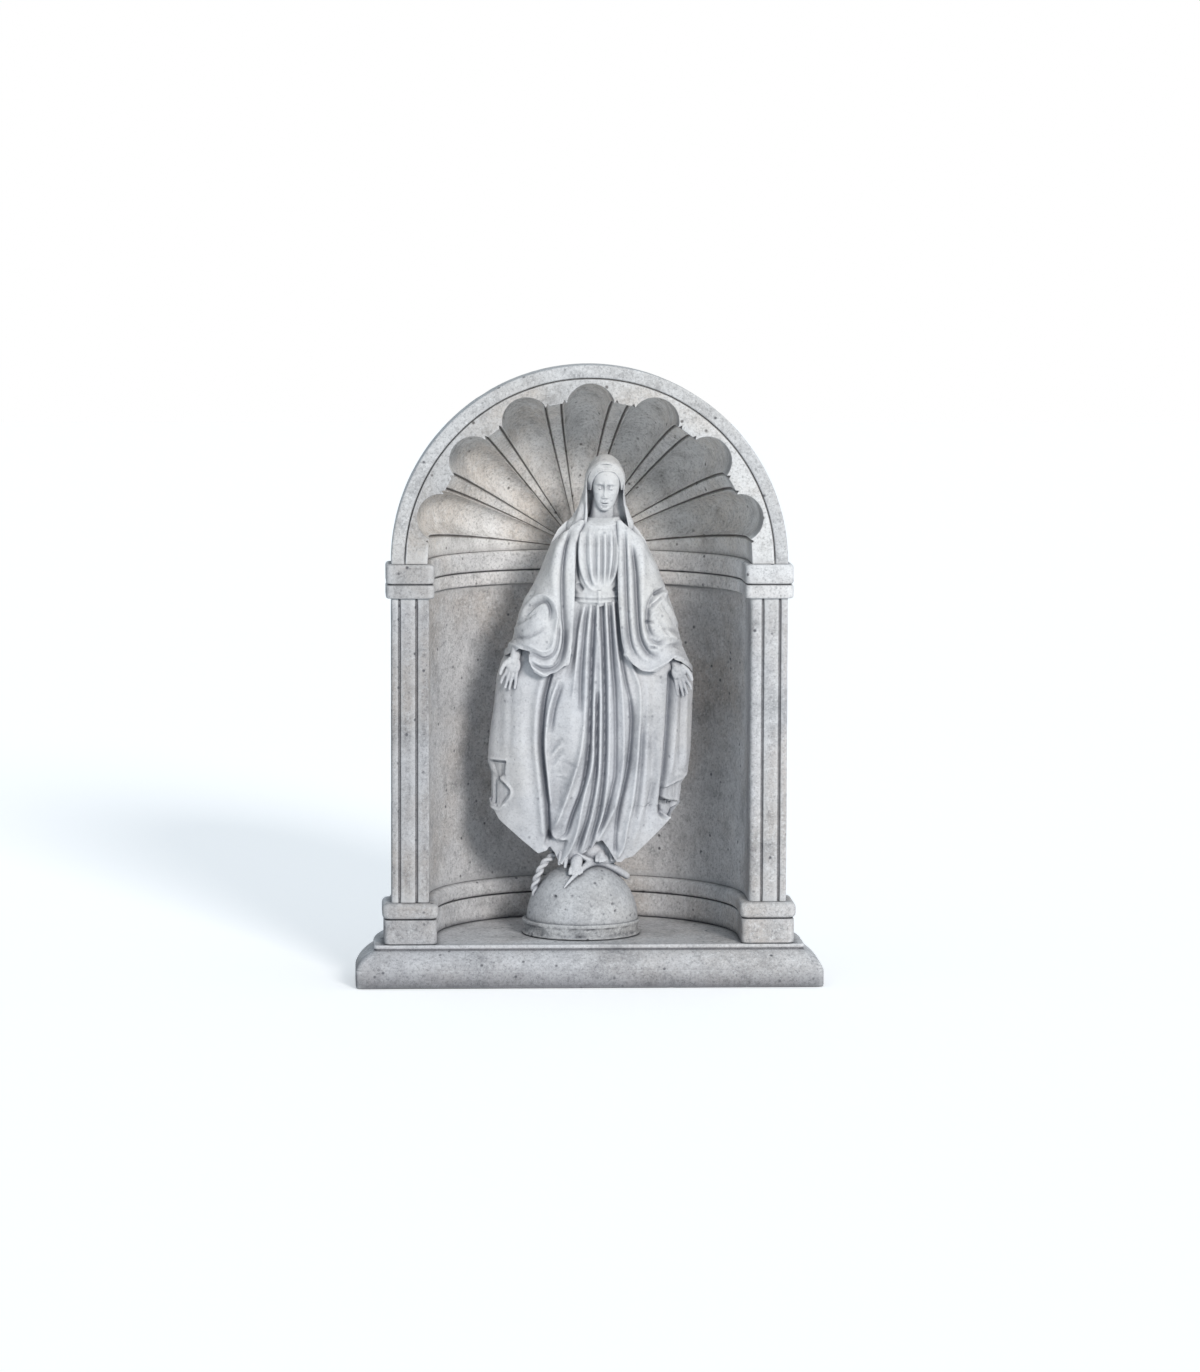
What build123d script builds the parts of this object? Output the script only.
from build123d import *

import math
import os

# A garden wayside shrine: a cast niche with a ribbed shell head and a veiled standing figure.
# Millimetres. X runs to the right, Y to the back and Z up; the origin is the middle of the
# underside. The front of the pilasters and of the arch stands at y = frame_front.

os.makedirs("parts", exist_ok=True)

# Niche in plan: pilasters at both ends of a half-round wall
frame_half = 252.0
frame_depth = 62.0
pilaster_width = 48.0
wall_thickness = 40.0
opening_half = frame_half - pilaster_width
wall_outer = opening_half + wall_thickness
wall_pieces = 6

# Base: plinth, moulding and floor course on a plan with a straight front and a round back
plinth_step = 46.0
base_straight = 80.0
frame_set_back = 35.0
base_corner = 7.0
plinth_height = 24.0
moulding_height = 23.0
moulding_in = 23.0
course_height = 6.0
foot_chamfer = 2.0
course_edge = 1.2
plinth_half = frame_half + plinth_step
plinth_front = -(plinth_half + base_straight) / 2
base_turn_y = plinth_front + base_straight
frame_front = plinth_front + frame_set_back
axis_y = frame_front + frame_depth
course_z = plinth_height + moulding_height
floor_z = course_z + course_height

# Pedestals, shafts and capitals, with the same bands carried round the wall
band_corner = 8.5
block_height = 32.0
block_out = 8.5
block_edge = 2.5
roll_height = 21.0
roll_out = 10.5
roll_edge = 7.0
neck_height = 18.0
neck_edge = 3.5
abacus_height = 26.0
abacus_edge = 4.5
cap_out = 7.0
shaft_height = 388.0
shaft_inner_edge = 7.0
shaft_outer_edge = 3.0
shaft_groove_half = 2.0
shaft_groove_depth = 3.0
outer_groove_in = 10.3
inner_groove_in = 32.0
shaft_z = floor_z + block_height + roll_height
cap_z = shaft_z + shaft_height
abacus_z = cap_z + neck_height
spring_z = abacus_z + abacus_height

# Arch ring and shell head; angles in degrees
arch_width = 17.0
arch_edge = 2.5
arch_joint = 1.6
shell_rim = frame_half - arch_width
shell_inner = opening_half + 2.0
lobe_count = 7
lobe_pitch = 24.3
flute_half_angle = 8.3
flute_set_in = 0.041 * shell_inner
groove_gap_angle = 0.3
groove_angle = 0.7
groove_depth = 2.5
root_radius = 19.0
root_depth = 14.0

# Figure, on a disc and a half globe
figure_height = 620.0
figure_x = -6.0
figure_y = frame_front + 95.0
unit = figure_height / 620.0
disc_radius = 76.6 * unit
disc_height = 20.0 * unit
disc_edge = 2.0
disc_lip = 3.5
disc_band = 7.0
disc_recess = 2.5
globe_radius = 73.7 * unit
globe_z = floor_z + disc_height
drape_y = figure_y - 2.0 * unit
belt_low = 428.0
belt_high = 441.0
neck_low = 535.0


def write(builder, name):
    """Writes one piece to its own file."""
    builder.part.label = name
    export_step(builder.part, "parts/" + name + ".step")


# Base

def base_plan(inset, z):
    """Outline of a base course at z, drawn in by inset from the plinth."""
    half = plinth_half - inset
    front = plinth_front + inset
    with BuildSketch(Plane.XY.offset(z)) as plan:
        with BuildLine():
            Polyline((-half, base_turn_y), (-half, front), (half, front), (half, base_turn_y))
            RadiusArc((half, base_turn_y), (-half, base_turn_y), -half)
        make_face()
        fillet(plan.vertices().group_by(Axis.Y)[0], base_corner)
    return plan.sketch


plinth_plan = base_plan(0, 0)
with BuildPart() as base_plinth:
    add(plinth_plan)
    extrude(amount=plinth_height)
    chamfer(base_plinth.edges().group_by(Axis.Z)[0], foot_chamfer)
write(base_plinth, "base_plinth")

# The moulding is round below and hollow above, mitred at the front corners. Shares of its
# run inward and of its height:
mould_profile = [(0, 0), (0.06, 0.2), (0.24, 0.4), (0.5, 0.58), (0.76, 0.74), (0.93, 0.9), (1, 1)]


def moulding_section(plane, start, far):
    """Face under the moulding's profile, from the profile at start to far, along the plane's x."""
    turn = 1 if far > start else -1
    points = [
        (start + turn * run * moulding_in, plinth_height + rise * moulding_height)
        for run, rise in mould_profile
    ]
    with BuildSketch(plane) as section:
        with BuildLine():
            Spline(*points)
            Polyline(points[-1], (far, course_z), (far, plinth_height), points[0])
        make_face()
    return section.sketch


round_section = moulding_section(Plane.XZ.offset(-base_turn_y), plinth_half, 0)
front_section = moulding_section(Plane.YZ, plinth_front, plinth_front + 3 * plinth_half)
with BuildPart() as base_moulding:
    add(round_section)
    revolve(axis=Axis((0, base_turn_y, 0), (0, 0, 1)), revolution_arc=180)
    for side in (round_section, mirror(round_section, Plane.YZ)):
        extrude(side, amount=base_straight)
    extrude(front_section, amount=2 * plinth_half, both=True, mode=Mode.INTERSECT)
write(base_moulding, "base_moulding")

course_plan = base_plan(moulding_in, course_z)
with BuildPart() as base_course:
    add(course_plan)
    extrude(amount=course_height)
    chamfer(base_course.edges().group_by(Axis.Z)[0], course_edge)
    fillet(base_course.edges().group_by(Axis.Z)[-1], course_edge)
write(base_course, "base_floor_course")


# Bands round the pilasters and the wall

def band_end(z, height, out, edge):
    """Right-hand end of a band, round a pilaster, softened on its three open sides."""
    inner = opening_half - out
    outer = frame_half + out
    front = frame_front - out
    with BuildPart() as band:
        with BuildSketch(Plane.XY.offset(z)) as plan:
            with Locations(((inner + outer) / 2, (front + axis_y) / 2)):
                Rectangle(outer - inner, axis_y - front)
            fillet(plan.vertices().group_by(Axis.Y)[0], band_corner)
        extrude(amount=height)
        for level in (0, -1):
            edges = band.edges().group_by(Axis.Z)[level]
            fillet(edges.filter_by(lambda e: e.center().Y < axis_y - 0.01), edge)
    return band.part


def half_ring(z, inner, outer, start, arc):
    """Sector of a ring round the wall's axis."""
    with BuildSketch(Plane.XY.offset(z)) as plan:
        with BuildLine():
            one = CenterArc((0, axis_y), outer, start, arc)
            two = CenterArc((0, axis_y), inner, start, arc)
            Line(one @ 0, two @ 0)
            Line(one @ 1, two @ 1)
        make_face()
    return plan.sketch


def band_ring(z, height, out, edge):
    """Half-round length of the same band, round the wall."""
    plan = half_ring(z, opening_half - out, wall_outer + out, 0, 180)
    with BuildPart() as band:
        add(plan)
        extrude(amount=height)
        for level in (0, -1):
            edges = band.edges().group_by(Axis.Z)[level]
            fillet(edges.filter_by(GeomType.CIRCLE), edge)
    return band.part


footing_bands = [
    (floor_z, block_height, block_out, block_edge),
    (floor_z + block_height, roll_height, roll_out, roll_edge),
]
impost_bands = [
    (cap_z, neck_height, cap_out, neck_edge),
    (abacus_z, abacus_height, cap_out, abacus_edge),
]

for bands, end_name, ring_name in (
    (footing_bands, "pedestal", "wall_footing"),
    (impost_bands, "capital", "impost_band"),
):
    ends = [band_end(*band) for band in bands]
    rings = [band_ring(*band) for band in bands]
    with BuildPart() as right_end:
        add(ends)
    write(right_end, end_name + "_right")
    with BuildPart() as left_end:
        mirror(right_end.part, Plane.YZ)
    write(left_end, end_name + "_left")
    with BuildPart() as ring:
        add(rings)
    write(ring, ring_name)

# Pilaster shafts: two fine grooves in the face, rounded towards the niche
with BuildPart() as pilaster_right:
    with BuildSketch(Plane.XY.offset(shaft_z)) as plan:
        with Locations(((opening_half + frame_half) / 2, frame_front + frame_depth / 2)):
            Rectangle(pilaster_width, frame_depth)
        fillet(plan.vertices().group_by(Axis.Y)[0].sort_by(Axis.X)[0], shaft_inner_edge)
        fillet(plan.vertices().group_by(Axis.Y)[0].sort_by(Axis.X)[-1], shaft_outer_edge)
        for inset in (outer_groove_in, inner_groove_in):
            x = frame_half - inset
            with BuildLine():
                Polyline(
                    (x - shaft_groove_half, frame_front), (x, frame_front + shaft_groove_depth),
                    (x + shaft_groove_half, frame_front), close=True,
                )
            make_face(mode=Mode.SUBTRACT)
    extrude(amount=shaft_height)
write(pilaster_right, "pilaster_right")

with BuildPart() as pilaster_left:
    mirror(pilaster_right.part, Plane.YZ)
write(pilaster_left, "pilaster_left")

wall_arc = 180 / wall_pieces
for n in range(wall_pieces):
    wall_plan = half_ring(shaft_z, opening_half, wall_outer, 180 - (n + 1) * wall_arc, wall_arc)
    with BuildPart() as wall:
        add(wall_plan)
        extrude(amount=shaft_height)
    write(wall, "niche_wall_" + str(n + 1))


# Arch ring and shell head

def front_circle(builder):
    """Front round edges of a ring in the arch's plane, smallest first."""
    return builder.edges().filter_by(GeomType.CIRCLE).group_by(Axis.Y)[0].sort_by(SortBy.RADIUS)


arch_plane = Plane((0, frame_front, spring_z), x_dir=(1, 0, 0), z_dir=(0, -1, 0))
with BuildPart() as arch_ring:
    with BuildSketch(arch_plane):
        with BuildLine():
            one = CenterArc((0, 0), frame_half, 0, 180)
            two = CenterArc((0, 0), shell_rim, 0, 180)
            Line(one @ 0, two @ 0)
            Line(one @ 1, two @ 1)
        make_face()
    extrude(amount=-frame_depth)
    chamfer(front_circle(arch_ring)[0], arch_joint)
    fillet(front_circle(arch_ring)[-1], arch_edge)
write(arch_ring, "arch_ring")

shell_axis = Axis((0, 0, spring_z), (0, -1, 0))
flute_centre_reach = shell_inner - flute_set_in
flute_radius = math.hypot(
    shell_inner * math.cos(math.radians(flute_half_angle)) - flute_centre_reach,
    shell_inner * math.sin(math.radians(flute_half_angle)),
)
cut_clear = 1.0
groove_clear = 8.0


def meridian(angle):
    """Plane through the shell's axis, its x outward at the angle and its y to the back."""
    c, s = math.cos(math.radians(angle)), math.sin(math.radians(angle))
    return Plane((0, 0, spring_z), x_dir=(c, 0, s), z_dir=(-s, 0, c))


def shell_wedge(start, arc):
    """Wedge of the shell head's thickness, plain inside, with the joint line at its rim."""
    deep_in = axis_y + math.sqrt(shell_inner ** 2 - root_radius ** 2)
    deep_out = axis_y + math.sqrt(wall_outer ** 2 - root_radius ** 2)
    with BuildPart() as wedge:
        with BuildSketch(meridian(start)):
            with BuildLine():
                Polyline(
                    (shell_inner, axis_y), (shell_inner, frame_front), (shell_rim - arch_joint, frame_front),
                    (shell_rim, frame_front + arch_joint), (shell_rim, axis_y), (wall_outer, axis_y),
                )
                RadiusArc((wall_outer, axis_y), (root_radius, deep_out), -wall_outer)
                Line((root_radius, deep_out), (root_radius, deep_in))
                RadiusArc((root_radius, deep_in), (shell_inner, axis_y), shell_inner)
            make_face()
        revolve(axis=shell_axis, revolution_arc=arc)
    return wedge.part


def groove_wedge(start):
    """Space of one fine groove beside a rib."""
    outer = shell_inner + groove_depth
    inner = outer - groove_clear
    with BuildPart() as wedge:
        with BuildSketch(meridian(start)):
            with BuildLine():
                Polyline(
                    (outer, axis_y), (outer, frame_front - cut_clear),
                    (inner, frame_front - cut_clear), (inner, axis_y),
                )
                RadiusArc((inner, axis_y), (0, axis_y + inner), -inner)
                Line((0, axis_y + inner), (0, axis_y + outer))
                RadiusArc((0, axis_y + outer), (outer, axis_y), outer)
            make_face()
        revolve(axis=shell_axis, revolution_arc=groove_angle)
    return wedge.part


def flute(centre):
    """Space of one flute: a straight round hollow that narrows as it runs back to the root."""
    c, s = math.cos(math.radians(centre)), math.sin(math.radians(centre))
    rim_centre = (flute_centre_reach * c, frame_front - cut_clear, spring_z + flute_centre_reach * s)
    with BuildPart() as hollow:
        for turn in (0, 20, 40, 60, 76, 86.5):
            f = math.radians(turn)
            reach = shell_inner - flute_set_in * math.cos(f)
            place = (reach * math.cos(f) * c, axis_y + reach * math.sin(f), spring_z + reach * math.cos(f) * s)
            ahead = (-math.sin(f) * c, math.cos(f), -math.sin(f) * s)
            with BuildSketch(Plane(place, x_dir=(-s, 0, c), z_dir=ahead)):
                Circle(flute_radius * math.cos(f))
        loft()
        with BuildSketch(Plane(rim_centre, x_dir=(-s, 0, c), z_dir=(0, 1, 0))):
            Circle(flute_radius)
        extrude(amount=frame_depth + cut_clear)
    return hollow.part


for n in range(lobe_count):
    centre = 90 + (lobe_count // 2 - n) * lobe_pitch
    low = 0 if n == lobe_count - 1 else centre - lobe_pitch / 2
    high = 180 if n == 0 else centre + lobe_pitch / 2
    groove_from = flute_half_angle + groove_gap_angle
    wedge = shell_wedge(low, high - low)
    hollow = flute(centre)
    grooves = [groove_wedge(centre - groove_from - groove_angle), groove_wedge(centre + groove_from)]
    with BuildPart() as lobe:
        add(wedge)
        add(hollow, mode=Mode.SUBTRACT)
        add(grooves, mode=Mode.SUBTRACT)
    write(lobe, "shell_lobe_" + str(n + 1))

root_plane = Plane((0, axis_y + shell_inner - root_depth, spring_z), x_dir=(1, 0, 0), z_dir=(0, 1, 0))
with BuildPart() as shell_root:
    with BuildSketch(root_plane):
        with BuildLine():
            arc = CenterArc((0, 0), root_radius, 180, 180)
            Line(arc @ 0, arc @ 1)
        make_face()
    extrude(amount=wall_outer - shell_inner + root_depth - 1)
write(shell_root, "shell_root")


# Figure's stand

with BuildPart() as globe_disc:
    with BuildSketch(Plane.XZ.offset(-figure_y)):
        with Locations((figure_x, floor_z)):
            Rectangle(disc_radius, disc_height, align=(Align.MIN, Align.MIN))
        with Locations((figure_x + disc_radius, floor_z + disc_lip)):
            Rectangle(disc_recess, disc_band, align=(Align.MAX, Align.MIN), mode=Mode.SUBTRACT)
    revolve(axis=Axis((figure_x, figure_y, 0), (0, 0, 1)))
    fillet(globe_disc.edges().group_by(Axis.Z)[-1], disc_edge)
write(globe_disc, "globe_plinth")

with BuildPart() as half_globe:
    with Locations((figure_x, figure_y, globe_z)):
        Sphere(globe_radius, arc_size1=0, align=(Align.CENTER, Align.CENTER, Align.MIN))
write(half_globe, "half_globe")


# Draped figure. Its tables are in units of the figure, 620 from the niche floor to the top of
# the veil: heights above the floor, and left and right edges from the stand's axis. Each piece
# is a loft of half-oval sections in front of or behind one frontal plane.

def half_oval(height, left, right, deep, back):
    """Half an oval from left to right, reaching deep from the frontal plane."""
    middle = figure_x + unit * (left + right) / 2
    half = unit * (right - left) / 2
    reach = unit * deep * (1 if back else -1)
    points = [
        (middle + half * math.cos(a), drape_y + reach * math.sin(a) ** 0.8)
        for a in (0, 0.35, 0.8, math.pi / 2, math.pi - 0.8, math.pi - 0.35, math.pi)
    ]
    with BuildSketch(Plane.XY.offset(floor_z + unit * height)) as section:
        with BuildLine():
            Spline(*points)
            Line(points[-1], points[0])
        make_face()
    return section.sketch


def drape(rows, back):
    """Solid through rows of height, left, right and depth."""
    sections = [half_oval(*row, back) for row in rows]
    with BuildPart() as piece:
        add(sections)
        loft()
    return piece.part


def spheroid(x, y, height, radius, half_length, tilt):
    """Egg round its own upright axis, turned by tilt, in the figure's units."""
    with BuildPart() as egg:
        with BuildSketch(Plane.XZ):
            Ellipse(unit * radius, unit * half_length)
            with Locations((-unit * radius, 0)):
                Rectangle(2 * unit * radius, 2 * unit * half_length, mode=Mode.SUBTRACT)
        revolve(axis=Axis.Z)
    place = (figure_x + unit * x, drape_y + unit * y, floor_z + unit * height)
    return Location(place, tilt) * egg.part


head_egg = spheroid(29.5, -8, 577, 22, 34, (12, 0, 0))
with BuildPart() as head:
    add(head_egg)
    with Locations((figure_x + 26 * unit, drape_y - 8 * unit, floor_z + neck_low * unit)):
        Cylinder(11 * unit, 26 * unit, align=(Align.CENTER, Align.CENTER, Align.MIN))
write(head, "head")

hands = {
    "hand_left": spheroid(-89, -40, 345, 13, 26, (0, 12, 0)),
    "hand_right": spheroid(124, -40, 339, 13, 26, (0, -12, 0)),
}
for name, form in hands.items():
    with BuildPart() as hand:
        add(form)
    write(hand, name)

toes = [spheroid(26, -28, 94, 9, 24, (70, 0, 0)), spheroid(-8, -40, 79, 9, 24, (60, 0, 0))]
with BuildPart() as feet:
    add(toes)
    add(half_globe.part, mode=Mode.SUBTRACT)
write(feet, "feet")

mantle_form = drape([
    (79, -38, 48, 26), (104, -55, 64, 36), (124, -79, 88, 44), (149, -107, 111, 52), (177, -116, 128, 57),
    (209, -117, 137, 58), (250, -120, 141, 58), (297, -113, 143, 58), (337, -108, 144, 56),
    (367, -97, 133, 54), (402, -84, 123, 51), (433, -74, 112, 48), (467, -57, 100, 43),
    (507, -40, 83, 36), (523, -31, 72, 32), (neck_low, -12, 62, 28),
], True)
with BuildPart() as mantle:
    add(mantle_form)
    add(half_globe.part, mode=Mode.SUBTRACT)
write(mantle, "mantle_back")

gown_form = drape([
    (71, -42, 58, 44), (105, -48, 62, 50), (177, -54, 68, 52), (277, -54, 68, 50), (347, -38, 64, 46),
    (402, -18, 54, 40), (belt_low, -11, 47, 35),
], False)
with BuildPart() as gown:
    add(gown_form)
    add(half_globe.part, mode=Mode.SUBTRACT)
    add(feet.part, mode=Mode.SUBTRACT)
write(gown, "gown_skirt")

sash_form = drape([(belt_low, -13, 49, 38), (belt_high, -13, 49, 39)], False)
with BuildPart() as sash:
    add(sash_form)
write(sash, "sash")

bodice_form = drape([
    (belt_high, -11, 47, 36), (472, -9, 50, 40), (507, -2, 52, 34), (neck_low, 14, 46, 22),
], False)
with BuildPart() as bodice:
    add(bodice_form)
write(bodice, "bodice")

def under(line):
    """Space below a hem seen from the front, to cut a draped piece with."""
    points = [(figure_x + unit * x, floor_z + unit * height) for x, height in line]
    with BuildPart() as space:
        with BuildSketch(Plane.XZ.offset(-drape_y)):
            with BuildLine():
                Spline(*points)
                Polyline(points[-1], (points[-1][0], 0), (points[0][0], 0), points[0])
            make_face()
        extrude(amount=100 * unit, both=True)
    return space.part


# Each side: the mantle over the arm, drawn up in a swag, then the panel that hangs behind it
swags = {
    "left": drape([
        (330, -108, -14, 46), (383, -88, -2, 50), (433, -72, 6, 44), (487, -47, 14, 36), (neck_low, -14, 18, 20),
    ], False),
    "right": drape([
        (330, 36, 144, 46), (383, 30, 128, 50), (433, 26, 111, 44), (487, 32, 91, 36), (neck_low, 40, 64, 20),
    ], False),
}
swag_hems = {
    "left": under([(-119, 352), (-101, 365), (-89, 373), (-76, 370), (-67, 356), (-55, 343), (-39, 338),
                   (-25, 347), (-15, 368), (1, 379)]),
    "right": under([(41, 385), (53, 372), (61, 356), (72, 346), (85, 344), (98, 350), (108, 358), (117, 363),
                    (128, 358), (139, 344), (148, 330)]),
}
panels = {
    "left": drape([
        (97, -92, -34, 30), (162, -117, -24, 34), (247, -119, -24, 36), (339, -107, -14, 38), (380, -96, -10, 38),
    ], False),
    "right": drape([
        (97, 46, 98, 30), (172, 42, 126, 34), (247, 42, 140, 36), (339, 36, 143, 38), (380, 36, 127, 38),
    ], False),
}
panel_hems = {
    "left": under([(-130, 175), (-116, 164), (-104, 149), (-79, 126), (-55, 107), (-30, 92)]),
    "right": under([(42, 88), (64, 102), (88, 126), (112, 150), (124, 167), (145, 176)]),
}
for side in ("left", "right"):
    hand = hands["hand_" + side]
    with BuildPart() as sleeve:
        add(swags[side])
        for other in (swag_hems[side], gown.part, sash.part, bodice.part, hand):
            add(other, mode=Mode.SUBTRACT)
    write(sleeve, "sleeve_" + side)
    with BuildPart() as panel:
        add(panels[side])
        for other in (panel_hems[side], sleeve.part, gown.part, hand):
            add(other, mode=Mode.SUBTRACT)
    write(panel, "mantle_panel_" + side)

face_width = 40.0 * unit
with BuildPart() as veil:
    for height, middle, half, deep in (
        (neck_low, 24, 36, 30), (559, 28, 32, 33), (587, 29.5, 31, 36), (607, 30, 23, 28), (620, 30.5, 6, 9),
    ):
        with BuildSketch(Plane.XY.offset(floor_z + unit * height)):
            with Locations((figure_x + unit * middle, drape_y + 2 * unit)):
                Ellipse(unit * half, unit * deep)
    loft()
    with Locations((figure_x + 29.5 * unit, drape_y - 34 * unit, floor_z + unit * neck_low)):
        Box(face_width, 60 * unit, 64 * unit, align=(Align.CENTER, Align.CENTER, Align.MIN), mode=Mode.SUBTRACT)
    add(head.part, mode=Mode.SUBTRACT)
write(veil, "veil")

# The serpent lies round the globe as a leaning ring
coil_radius = 60.0 * unit
coil_rise = 44.0 * unit
coil_lean = 20.0
coil_thick = 6.5 * unit
coil_x = figure_x + coil_rise * math.sin(math.radians(coil_lean))
coil_z = globe_z + coil_rise * math.cos(math.radians(coil_lean))
with BuildPart() as serpent:
    with Locations(Location((coil_x, figure_y, coil_z), (0, coil_lean, 0))):
        Torus(coil_radius, coil_thick)
    for other in (half_globe, gown, mantle, feet):
        add(other.part, mode=Mode.SUBTRACT)
write(serpent, "serpent")
